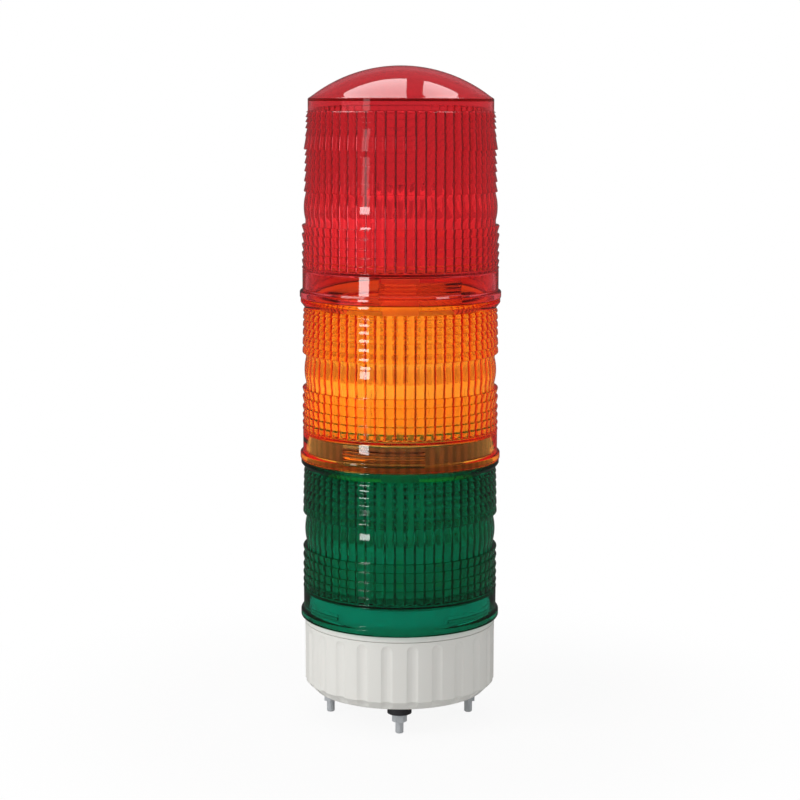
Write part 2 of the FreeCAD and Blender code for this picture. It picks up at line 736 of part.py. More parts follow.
save("base_housing", base_housing())
save("base_top_cover", base_top_cover())
cover_screw = screw(
    COVER_SCREW_R,
    COVER_SCREW_LENGTH,
    COVER_SCREW_HEAD_R,
    COVER_SCREW_HEAD,
    cover_top,
    boss_offset,
)
save("cover_screws", *around(cover_screw, COVER_SCREW_COUNT, 180.0 / COVER_SCREW_COUNT))
save("stud_plate", stud_plate())
save("mounting_studs", *around(mounting_stud(), STUD_COUNT))
save("mounting_pads", *around(mounting_pad(), STUD_COUNT))
save("flange_nuts", *around(flange_nut(), STUD_COUNT))
save("cable_grommet", cable_grommet())

save("control_board", control_board())
save("board_standoffs", *around(standoff(), STANDOFF_COUNT, 180.0 / STANDOFF_COUNT))
board_screw = screw(
    BOARD_SCREW_R,
    BOARD_SCREW_LENGTH,
    BOARD_SCREW_HEAD_R,
    BOARD_SCREW_HEAD,
    board_top,
    standoff_offset,
)
save("board_screws", *around(board_screw, STANDOFF_COUNT, 180.0 / STANDOFF_COUNT))
save("terminal_block", terminal_block())
save("board_capacitors", *board_capacitors())
save("driver_chips", *driver_chips())

save("column_foot", column_foot())
foot_screw = screw(
    BOARD_SCREW_R,
    FOOT_SCREW_LENGTH,
    BOARD_SCREW_HEAD_R,
    BOARD_SCREW_HEAD,
    cover_top + FOOT_FLANGE,
    foot_screw_offset,
)
save("foot_screws", *around(foot_screw, FOOT_SCREW_COUNT))
save("column_tube", column_tube())
save("lower_spacer", spacer(0))
save("upper_spacer", spacer(1))
save("column_washer", ring(hub_bore, WASHER_R, washer_low, washer_top))
column_nut = prism(6, COLUMN_NUT_ACROSS / 2, washer_top, nut_top)
save("column_nut", column_nut.cut(disc(TUBE_R + SCREW_FIT, washer_top, nut_top)))
save("column_leads", *[lead(stage) for stage in range(len(stages))])
for stage, colour in enumerate(("green", "amber", "red")):
    save(colour + "_lamp_drum", lamp_drum(stage))
    save(colour + "_light_boards", *light_boards(stage))
    save(colour + "_diodes", *diodes(stage))

save("base_seal_ring", seal_ring(stages[0]))
save("green_lens", stage_lens(0, BASE_LUG_TURN, GREEN_LUG_TURN))
save("green_seal_ring", seal_ring(stages[1]))
save("amber_lens", stage_lens(1, GREEN_LUG_TURN, AMBER_LUG_TURN))
save("amber_seal_ring", seal_ring(stages[2]))
save("red_lens", red_lens(AMBER_LUG_TURN))
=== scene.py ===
"""Looks of a three-stage stack light: ring lenses of tinted polycarbonate on a fluted ABS base.

Lengths are millimetres until a mesh is made, and +Z is up. The front of the light is towards -Y.
"""

import logging
import math
from dataclasses import dataclass, field
from enum import Enum

import bpy
import numpy as np
from mathutils import Matrix, Vector


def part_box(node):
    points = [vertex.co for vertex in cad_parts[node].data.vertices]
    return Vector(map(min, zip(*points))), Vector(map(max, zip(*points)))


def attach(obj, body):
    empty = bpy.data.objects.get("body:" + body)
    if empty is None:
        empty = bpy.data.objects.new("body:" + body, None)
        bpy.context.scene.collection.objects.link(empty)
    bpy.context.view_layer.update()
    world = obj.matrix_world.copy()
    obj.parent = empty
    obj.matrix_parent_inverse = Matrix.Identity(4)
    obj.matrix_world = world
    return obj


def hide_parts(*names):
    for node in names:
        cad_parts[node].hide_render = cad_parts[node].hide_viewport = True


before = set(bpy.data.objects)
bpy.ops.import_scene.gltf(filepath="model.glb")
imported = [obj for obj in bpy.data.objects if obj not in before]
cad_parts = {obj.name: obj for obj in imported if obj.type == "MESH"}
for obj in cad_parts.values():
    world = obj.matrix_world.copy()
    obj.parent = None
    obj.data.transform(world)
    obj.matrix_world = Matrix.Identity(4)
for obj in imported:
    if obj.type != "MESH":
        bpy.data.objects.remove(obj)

MM = 0.001

logging.basicConfig(level=logging.INFO, format="%(name)s: %(message)s")
log = logging.getLogger("stack_light")

Colour = tuple[float, float, float, float]
WHITE: Colour = (1.0, 1.0, 1.0, 1.0)

LONGEST_CUT = 0.45  # share of a side that the rounding of one corner may take
SAME_POINT = 1e-6  # points closer than this are one
BASE_LUG_TURN = -35.0  # degrees from +X to the middle of a lug
GREEN_LUG_TURN = -100.5
AMBER_LUG_TURN = -77.5


# ---- Colours and nodes ----------------------------------------------------------------------------------


def linear(code: str) -> Colour:
    """Turn an sRGB hex colour into linear values.

    Each channel c above 0.04045 becomes ((c + 0.055) / 1.055) to the power 2.4, and c / 12.92 below it.

    Args:
        code: colour as #RRGGBB.

    Returns:
        Red, green, blue and an alpha of 1.
    """
    channels = np.array([int(code[i : i + 2], 16) for i in (1, 3, 5)]) / 255.0
    bright = ((channels + 0.055) / 1.055) ** 2.4
    values = np.where(channels > 0.04045, bright, channels / 12.92)
    return (*values.tolist(), 1.0)


def add_node(
    tree: bpy.types.NodeTree,
    kind: str,
    settings: dict[str | int, object] | None = None,
    links: dict[str | int, bpy.types.NodeSocket] | None = None,
) -> bpy.types.Node:
    """Add one node to a tree.

    Args:
        tree: node tree that gets the node.
        kind: Blender's name of the node type.
        settings: values by name, for the node's properties or its input sockets.
        links: output sockets by the name of the input that each one feeds.
            An input that shares its name with another is given by its number.

    Returns:
        The new node.
    """
    node = tree.nodes.new(kind)
    for name, value in (settings or {}).items():
        if isinstance(name, str) and hasattr(node, name):
            setattr(node, name, value)
        else:
            node.inputs[name].default_value = value
    for name, source in (links or {}).items():
        tree.links.new(source, node.inputs[name])
    return node


def new_material(name: str) -> tuple[bpy.types.Material, bpy.types.NodeTree]:
    """Make an empty node material.

    Args:
        name: name of the material.

    Returns:
        The material and its node tree.
    """
    material = bpy.data.materials.new(name)
    material.use_nodes = True
    material.node_tree.nodes.clear()
    return material, material.node_tree


# ---- Finishes -------------------------------------------------------------------------------------------


@dataclass(frozen=True)
class TintedPolycarbonate:
    """Injection-moulded polycarbonate, coloured all through and polished by its mould.

    Each face tints what passes it, and light loses more along its way through the wall, so thick and
    edge-on places are deeper.
    """

    name: str
    passed: str
    density: float
    wall_tint: str
    ior: float = 1.58
    roughness: float = 0.03

    def material(self) -> bpy.types.Material:
        """Make the material: a clear polished surface round an absorbing volume.

        Returns:
            The material.
        """
        material, tree = new_material(self.name)
        surface = add_node(
            tree,
            "ShaderNodeBsdfPrincipled",
            {
                "Base Color": linear(self.wall_tint),
                "Roughness": self.roughness,
                "IOR": self.ior,
                "Transmission Weight": 1.0,
            },
        )
        volume = add_node(
            tree, "ShaderNodeVolumeAbsorption", {"Color": linear(self.passed), "Density": self.density}
        )
        add_node(
            tree,
            "ShaderNodeOutputMaterial",
            links={"Surface": surface.outputs["BSDF"], "Volume": volume.outputs["Volume"]},
        )
        return material


@dataclass(frozen=True)
class MouldedPlastic:
    """Opaque plastic from a fine-grained mould: a soft sheen over a very fine, shallow texture."""

    name: str
    colour: str
    roughness: float
    grain_mm: float = 0.35
    grain_depth_mm: float = 0.01
    ior: float = 1.52
    grain_strength: float = 0.35
    slow_mm: float = 18.0
    gloss_spread: float = 0.04

    def material(self) -> bpy.types.Material:
        """Make the material: noise for the mould's grain, and a slow change of gloss.

        Returns:
            The material.
        """
        material, tree = new_material(self.name)
        place = add_node(tree, "ShaderNodeTexCoord")
        grain = add_node(
            tree,
            "ShaderNodeTexNoise",
            {"Scale": 1 / (self.grain_mm * MM), "Detail": 2.0, "Roughness": 0.6},
            {"Vector": place.outputs["Object"]},
        )
        bump = add_node(
            tree,
            "ShaderNodeBump",
            {"Strength": self.grain_strength, "Distance": self.grain_depth_mm * MM},
            {"Height": grain.outputs["Fac"]},
        )
        slow = add_node(
            tree,
            "ShaderNodeTexNoise",
            {"Scale": 1 / (self.slow_mm * MM), "Detail": 3.0, "Roughness": 0.5},
            {"Vector": place.outputs["Object"]},
        )
        gloss = add_node(
            tree,
            "ShaderNodeMapRange",
            {
                "To Min": self.roughness - self.gloss_spread,
                "To Max": self.roughness + self.gloss_spread,
            },
            {"Value": slow.outputs["Fac"]},
        )
        surface = add_node(
            tree,
            "ShaderNodeBsdfPrincipled",
            {"Base Color": linear(self.colour), "IOR": self.ior},
            {"Normal": bump.outputs["Normal"], "Roughness": gloss.outputs["Result"]},
        )
        add_node(tree, "ShaderNodeOutputMaterial", links={"Surface": surface.outputs["BSDF"]})
        return material


@dataclass(frozen=True)
class LightStop:
    """Matt coat on a spigot that keeps one stage's light out of the next, with painted shade in upright
    bars.

    It shows through the collar round it as broad dull bars, one to each rib of the lens. These bars are
    painted shade that stands in for the ribs' refraction seen through the collar.
    """

    name: str
    # light and dark are the two tones of the painted shade bars: the dark tone is painted shade.
    light: str
    dark: str
    bars: int
    roughness: float = 0.6
    edge: float = 0.6

    def material(self) -> bpy.types.Material:
        """Make the material: a sine of the angle about the axis moves the colour between its two tones,
        painting the shade of the bars.

        Returns:
            The material.
        """
        material, tree = new_material(self.name)
        place = add_node(tree, "ShaderNodeTexCoord")
        parts = add_node(tree, "ShaderNodeSeparateXYZ", links={"Vector": place.outputs["Object"]})
        angle = add_node(
            tree, "ShaderNodeMath", {"operation": "ARCTAN2"}, {0: parts.outputs["Y"], 1: parts.outputs["X"]}
        )
        phase = add_node(
            tree, "ShaderNodeMath", {"operation": "MULTIPLY", 1: self.bars}, {0: angle.outputs[0]}
        )
        wave = add_node(tree, "ShaderNodeMath", {"operation": "SINE"}, {0: phase.outputs[0]})
        share = add_node(
            tree,
            "ShaderNodeMapRange",
            {"From Min": -self.edge, "From Max": self.edge},
            {"Value": wave.outputs[0]},
        )
        # Painted shade: the colour swings to the dark tone in bars, one to each rib of the lens.
        painted_bar_shade = add_node(
            tree,
            "ShaderNodeMix",
            {"data_type": "RGBA", 6: linear(self.dark), 7: linear(self.light)},
            {0: share.outputs["Result"]},
        )
        surface = add_node(
            tree,
            "ShaderNodeBsdfPrincipled",
            {"Roughness": self.roughness},
            {"Base Color": painted_bar_shade.outputs[2]},
        )
        add_node(tree, "ShaderNodeOutputMaterial", links={"Surface": surface.outputs["BSDF"]})
        return material


@dataclass(frozen=True)
class PlatedSteel:
    """Bright metal, electroplated or drawn, which is slightly cloudy and finely scratched.

    Its metallic value is matched to the dark surroundings that gloss sees here, and is below that of
    bare metal.
    """

    name: str
    colour: str
    roughness: float
    cloud_mm: float = 1.6
    metallic: float = 1.0
    scratch_mm: float = 0.02
    scratch_strength: float = 0.25
    gloss_spread: tuple[float, float] = (-0.07, 0.09)

    def material(self) -> bpy.types.Material:
        """Make the material: noise changes the gloss a little and raises fine scratches.

        Returns:
            The material.
        """
        material, tree = new_material(self.name)
        place = add_node(tree, "ShaderNodeTexCoord")
        cloud = add_node(
            tree,
            "ShaderNodeTexNoise",
            {"Scale": 1 / (self.cloud_mm * MM), "Detail": 4.0, "Roughness": 0.65},
            {"Vector": place.outputs["Object"]},
        )
        gloss = add_node(
            tree,
            "ShaderNodeMapRange",
            {
                "To Min": self.roughness + self.gloss_spread[0],
                "To Max": self.roughness + self.gloss_spread[1],
            },
            {"Value": cloud.outputs["Fac"]},
        )
        bump = add_node(
            tree,
            "ShaderNodeBump",
            {"Strength": self.scratch_strength, "Distance": self.scratch_mm * MM},
            {"Height": cloud.outputs["Fac"]},
        )
        surface = add_node(
            tree,
            "ShaderNodeBsdfPrincipled",
            {"Base Color": linear(self.colour), "Metallic": self.metallic},
            {"Roughness": gloss.outputs["Result"], "Normal": bump.outputs["Normal"]},
        )
        add_node(tree, "ShaderNodeOutputMaterial", links={"Surface": surface.outputs["BSDF"]})
        return material


class Finish(Enum):
    """The finishes of the stack light, by the part that they are on."""

    GREEN_LENS = TintedPolycarbonate("green_tinted_polycarbonate", "#12F1E8", 700.0, "#46C0B4")
    AMBER_LENS = TintedPolycarbonate("amber_tinted_polycarbonate", "#FFE278", 470.0, "#FFFFFF")
    RED_LENS = TintedPolycarbonate("red_tinted_polycarbonate", "#F04050", 60.0, "#E66E78")
    # The light-stop coat's two tones paint bars of shade, one to each of the 60 ribs of the lens.
    LIGHT_STOP = LightStop("brown_light_stop_coat", "#6E463A", "#50382F", 60)
    BASE = MouldedPlastic("ivory_moulded_abs", "#DCDBD6", 0.42)
    DRUM = MouldedPlastic("white_moulded_abs", "#EFEFEC", 0.45)
    RUBBER = MouldedPlastic("black_moulded_rubber", "#2B292E", 0.62, 0.5, 0.03)
    SEAL = MouldedPlastic("dark_seal_rubber", "#26241F", 0.7, 0.4, 0.02)
    BLACK = MouldedPlastic("black_moulded_polyamide", "#1C1C1E", 0.5)
    BOARD = MouldedPlastic("green_solder_resist", "#17512F", 0.35, 1.2, 0.01)
    STRIP = MouldedPlastic("white_solder_resist", "#E9E9E4", 0.4, 1.2, 0.01)
    DIODE = MouldedPlastic("silicone_covered_diode", "#F2EFD2", 0.3, 0.8, 0.01)
    LEAD = MouldedPlastic("soft_pvc_insulation", "#B4432E", 0.5, 0.6, 0.01)
    ZINC = PlatedSteel("zinc_plated_steel", "#DEE2E6", 0.36, metallic=0.45)
    ALUMINIUM = PlatedSteel("drawn_aluminium", "#D2D3D4", 0.34, 2.5, 0.5)


class Palette:
    """Makes each finish once and puts it on pieces."""

    def __init__(self) -> None:
        """Start with no material made."""
        self.made: dict[Finish, bpy.types.Material] = {}

    def find(self, finish: Finish) -> bpy.types.Material:
        """Material of a finish, made the first time that it is asked for.

        Args:
            finish: the finish.

        Returns:
            Its material.
        """
        if finish not in self.made:
            self.made[finish] = finish.value.material()
        return self.made[finish]

    def dress(self, piece: bpy.types.Object, finish: Finish) -> None:
        """Put a finish on a piece, in place of any it has."""
        piece.data.materials.clear()
        piece.data.materials.append(self.find(finish))

    def coat(self, piece: bpy.types.Object, finish: Finish, chosen: np.ndarray) -> None:
        """Put a second finish on some faces of a piece.

        Args:
            piece: piece that has its first finish.
            finish: finish of the coated faces.
            chosen: for each face, whether it is coated.
        """
        piece.data.materials.append(self.find(finish))
        last = len(piece.data.materials) - 1
        piece.data.polygons.foreach_set("material_index", chosen.astype(np.int32) * last)


# ---- Meshes ---------------------------------------------------------------------------------------------


def rounded(corners: np.ndarray, steps: int = 4) -> np.ndarray:
    """Round the corners of an open outline.

    Each inner corner is replaced by a circular arc, drawn as a rational quadratic curve whose middle
    weight is the sine of half the corner's angle. The arc starts radius / tan(half the angle) before the
    corner, or at LONGEST_CUT of the shorter side if that is less.

    Args:
        corners: rows of radius, height and corner radius.
        steps: number of chords in each arc.

    Returns:
        Rows of radius and height.
    """
    points, radii = corners[:, :2], corners[1:-1, 2]
    before, here, after = points[:-2], points[1:-1], points[2:]
    to_before, to_after = before - here, after - here
    long_before = np.linalg.norm(to_before, axis=1)
    long_after = np.linalg.norm(to_after, axis=1)
    to_before = to_before / long_before[:, None]
    to_after = to_after / long_after[:, None]
    half = np.arccos(np.clip((to_before * to_after).sum(1), -1, 1)) / 2
    reach = np.minimum(radii / np.tan(half), LONGEST_CUT * np.minimum(long_before, long_after))
    start = here + to_before * reach[:, None]
    end = here + to_after * reach[:, None]
    t = np.linspace(0, 1, steps + 1)[None, :, None]
    middle = 2 * t * (1 - t) * np.sin(half)[:, None, None]
    arcs = (1 - t) ** 2 * start[:, None] + middle * here[:, None] + t**2 * end[:, None]
    arcs = arcs / ((1 - t) ** 2 + middle + t**2)
    path = np.vstack([points[:1], arcs.reshape(-1, 2), points[-1:]])
    apart = np.linalg.norm(np.diff(path, axis=0), axis=1) > SAME_POINT
    return path[np.concatenate([[True], apart])]


def grid_faces(rows: int, columns: int, closed_rows: bool) -> np.ndarray:
    """Quads of a grid whose columns close on themselves.

    Vertex (i, j) has the number i * columns + j, and the last column joins the first. The last row also
    joins the first one if closed_rows says so.

    Args:
        rows: number of rows.
        columns: number of columns.
        closed_rows: whether the last row joins the first.

    Returns:
        Rows of four vertex numbers.
    """
    i = np.arange(rows if closed_rows else rows - 1)[:, None]
    j = np.arange(columns)[None, :]
    above, beside = (i + 1) % rows, (j + 1) % columns
    quads = [i * columns + j, i * columns + beside, above * columns + beside, above * columns + j]
    return np.stack(np.broadcast_arrays(*quads), axis=-1).reshape(-1, 4)


def make_piece(
    name: str, points: np.ndarray, faces: list[list[int]], body: str, sharp_degrees: float = 32.0
) -> bpy.types.Object:
    """Make a smooth-shaded mesh object that rides on a body.

    Args:
        name: name of the piece.
        points: rows of x, y and z in millimetres.
        faces: vertex numbers of each face.
        body: body of the frame that the piece moves with.
        sharp_degrees: edges that turn more than this are left sharp.

    Returns:
        The new object.
    """
    mesh = bpy.data.meshes.new(name)
    mesh.from_pydata((points * MM).tolist(), [], faces)
    mesh.polygons.foreach_set("use_smooth", np.ones(len(mesh.polygons), bool))
    mesh.set_sharp_from_angle(angle=math.radians(sharp_degrees))
    mesh.validate()
    mesh.update()
    piece = bpy.data.objects.new(name, mesh)
    bpy.context.scene.collection.objects.link(piece)
    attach(piece, body)
    log.info("%s: %d faces on %s", name, len(mesh.polygons), body)
    return piece


# ---- Lenses ---------------------------------------------------------------------------------------------


class Stage(Enum):
    """The stages from the bottom up, by the colour of their lenses."""

    GREEN = "green"
    AMBER = "amber"
    RED = "red"


@dataclass
class RingLens:
    """What all three lenses share: lip, collar, rings below the bulge, the bulge and the inner ribs."""

    stage: Stage
    finish: Finish
    own_lugs: float
    lip_r: float = 62.5
    lip_height: float = 3.8
    lip_slope: float = 1.4
    collar_r: float = 60.8
    collar_bore: float = 58.4
    collar_room: float = 16.0
    collar_top: float = 17.0
    focus: float = 55.4
    bulge_r: float = 59.8
    bulge_edge_r: float = 58.8
    bulge_half: float = 7.6
    ring_offsets: tuple[float, ...] = (10.65, 16.0, 22.2, 27.3, 32.05, 36.35)
    ring_root_r: float = 59.6
    ring_tip_r: float = 61.1
    lower_root_rise: float = 0.15
    bore_r: float = 55.05
    rib_count: int = 60
    rib_depth: float = 0.55
    valley_r: float = 55.95
    lug_r: float = 57.4
    lug_rise: float = 6.0
    lug_height: float = 1.8
    lug_count: int = 3
    lug_span: float = 50.0
    thread_low: float = 2.0
    thread_pitch: float = 2.4
    thread_turns: int = 5
    thread_depth: float = 0.7
    columns_per_rib: int = 8
    bulge_rows: int = 13
    foot_bevel: float = 0.4
    tip_bevel: float = 0.3
    tip_rise: float = 0.6
    toe_spare: float = 0.1
    half_step: float = 0.01  # half the width of a sharp step, in degrees or millimetres

    @property
    def plane(self) -> float:
        """Level that the lip stands on."""
        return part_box(self.stage.value + "_lens")[0].z / MM

    def edge_turns(self) -> list[tuple[float, float]]:
        """Middle and span in degrees of every sector that needs its own columns."""
        return [(self.own_lugs, self.lug_span)]

    def angles(self) -> np.ndarray:
        """Angles of the columns in radians, closer towards the valleys between the ribs.

        Across each rib a column's way from the crest is the sine of evenly spaced angles. A close pair
        is added at each end of each sector.

        Returns:
            The angles, going up.
        """
        across = np.sin(np.linspace(-math.pi / 2, math.pi / 2, self.columns_per_rib, endpoint=False)) / 2
        even = np.add.outer(np.arange(self.rib_count), across).ravel() % self.rib_count
        even = even * 360.0 / self.rib_count
        turns = np.arange(self.lug_count) * 360.0 / self.lug_count
        ends = [middle + side * span / 2 for middle, span in self.edge_turns() for side in (-1, 1)]
        sides = np.array([-self.half_step, self.half_step])
        pairs = np.add.outer(np.add.outer(np.array(ends), turns), sides)
        return np.radians(np.unique(np.round(np.concatenate([even, pairs.ravel() % 360.0]), 4)))

    def in_sector(self, middle: float, span: float) -> np.ndarray:
        """Tell which columns are inside the evenly spaced sectors about an angle.

        Args:
            middle: middle of one sector, in degrees.
            span: width of a sector, in degrees.

        Returns:
            1 for each column inside a sector, and 0 elsewhere.
        """
        period = 360.0 / self.lug_count
        away = (np.degrees(self.angles()) - middle + period / 2) % period - period / 2
        return (np.abs(away) < span / 2).astype(float)

    def rib_wave(self) -> np.ndarray:
        """Height of the ribs at each column: each rib is a half ellipse across the way from its crest.

        Returns:
            1 on a crest, falling to 0 in a valley.
        """
        across = np.degrees(self.angles()) * self.rib_count / 360.0
        way = 2 * (across - np.round(across))
        return np.sqrt(np.maximum(1 - way**2, 0))

    def outer_start(self) -> np.ndarray:
        """Corners of the outside from the lip's foot to the start of the bulge.

        Returns:
            Rows of radius, height and rounding.
        """
        corners = [
            (self.collar_bore + self.foot_bevel, 0.0, 0.0),
            (self.lip_r, 0.0, 0.6),
            (self.lip_r, self.lip_height, 0.9),
            (self.collar_r, self.lip_height + self.lip_slope, 0.5),
            (self.collar_r, self.collar_top, 0.3),
        ]
        offsets = self.ring_offsets + (self.focus - self.collar_top,)
        for number in reversed(range(len(self.ring_offsets))):
            root = self.ring_root_r + self.lower_root_rise * number
            corners.append((root, self.focus - offsets[number + 1], 0.12))
            corners.append((self.ring_tip_r, self.focus - offsets[number] - self.tip_rise, 0.7))
            corners.append((self.ring_tip_r - self.tip_bevel, self.focus - offsets[number], 0.5))
        corners.append((self.bulge_edge_r, self.focus - self.ring_offsets[0], 0.2))
        return np.array(corners)

    def bulge(self) -> np.ndarray:
        """Points of the bulge: its radius falls with the square of the height from the focal plane.

        Returns:
            Rows of radius and height.
        """
        height = np.linspace(-self.bulge_half, self.bulge_half, self.bulge_rows)
        rise = 1 - (height / self.bulge_half) ** 2
        radius = self.bulge_edge_r + (self.bulge_r - self.bulge_edge_r) * rise
        return np.column_stack([radius, self.focus + height])

    def collar_heights(self) -> np.ndarray:
        """Heights of the rows in the collar's bore: the corners of the threads and of the lugs.

        Returns:
            The heights, going up.
        """
        crests = self.thread_low + np.arange(2 * self.thread_turns + 1) * self.thread_pitch / 2
        near = self.half_step
        lugs = self.lug_rise + np.array([-near, near, self.lug_height - near, self.lug_height + near])
        return np.unique(np.concatenate([[self.foot_bevel], crests, lugs, [self.collar_room]]))

    def collar_rows(self) -> tuple[np.ndarray, np.ndarray]:
        """Bore of the collar, going up.

        The bore is plain, except in the lugs' sectors: there V grooves are cut outwards, and the lug
        stands inwards between its two heights.

        Returns:
            Radius of every row and column, and the heights of the rows.
        """
        height = self.collar_heights()
        phase = (height - self.thread_low) / self.thread_pitch
        inside = (phase >= 0) & (phase <= self.thread_turns)
        groove = np.where(inside, self.thread_depth * (1 - np.abs(2 * (phase % 1) - 1)), 0.0)
        lug = (height > self.lug_rise) & (height < self.lug_rise + self.lug_height)
        step = np.where(lug, self.lug_r - self.collar_bore, 0.0)
        sector = self.in_sector(self.own_lugs, self.lug_span)
        radius = self.collar_bore + np.outer(groove + step, sector)
        return radius, height

    def rib_rows(self, high: float, rows: int = 26) -> tuple[np.ndarray, np.ndarray]:
        """Ribbed bore, going up from the collar.

        A 45 degree cone leads from the collar's bore to the ribs, so each rib ends in a rounded toe where
        its face meets the cone. The radius is the larger of the two surfaces.

        Args:
            high: height at which the ribs end.
            rows: number of rows in the toe.

        Returns:
            Radius of every row and column, and the heights of the rows.
        """
        toe = self.collar_bore - (self.bore_r - self.rib_depth) + self.toe_spare
        height = np.concatenate([np.linspace(0, toe, rows), [high - self.collar_room]])
        crest_r = self.bore_r - self.rib_depth
        ribbed = self.valley_r - (self.valley_r - crest_r) * self.rib_wave()
        cone = self.collar_bore - height
        radius = np.maximum(ribbed[None, :], cone[:, None])
        return radius, self.collar_room + height

    def build(self, palette: Palette) -> bpy.types.Object:
        """Make the lens in place of its node and dress it.

        Args:
            palette: finishes of the light.

        Returns:
            The lens.
        """
        radius, height, closed = self.surface()
        angle = self.angles()
        columns = len(angle)
        points = np.stack(
            [radius * np.cos(angle), radius * np.sin(angle), self.plane + height], axis=-1
        ).reshape(-1, 3)
        faces = grid_faces(len(radius), columns, closed).tolist()
        if not closed:
            low, high = len(points), len(points) + 1
            ends = np.array([[0, 0, points[0, 2]], [0, 0, points[-1, 2]]])
            points = np.vstack([points, ends])
            ring = np.arange(columns)
            last = (len(radius) - 1) * columns
            beside = (ring + 1) % columns
            faces += np.column_stack([np.full(columns, low), beside, ring]).tolist()
            faces += np.column_stack([np.full(columns, high), last + ring, last + beside]).tolist()
        node = self.stage.value + "_lens"
        piece = make_piece(self.stage.value + "_ring_lens", points, faces, self.stage.value + "_stage")
        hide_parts(node)
        palette.dress(piece, self.finish)
        return piece

    def surface(self) -> tuple[np.ndarray, np.ndarray, bool]:
        """Radius and height of every row and column, and whether the last row joins the first."""
        raise NotImplementedError

    def even(self, path: np.ndarray) -> tuple[np.ndarray, np.ndarray]:
        """Rows that are the same all round: spread the radius of each point over the columns."""
        return np.repeat(path[:, :1], len(self.angles()), axis=1), path[:, 1]


def stack_rows(*parts: tuple[np.ndarray, np.ndarray]) -> tuple[np.ndarray, np.ndarray]:
    """Join groups of rows into one grid, and repeat each row's height over its columns.

    Args:
        parts: radius of every row and column, and the heights of the rows, for each group.

    Returns:
        Radius and height of every row and column.
    """
    radius = np.vstack([part[0] for part in parts])
    height = np.concatenate([np.atleast_1d(part[1]) for part in parts])
    return radius, np.repeat(height[:, None], radius.shape[1], axis=1)


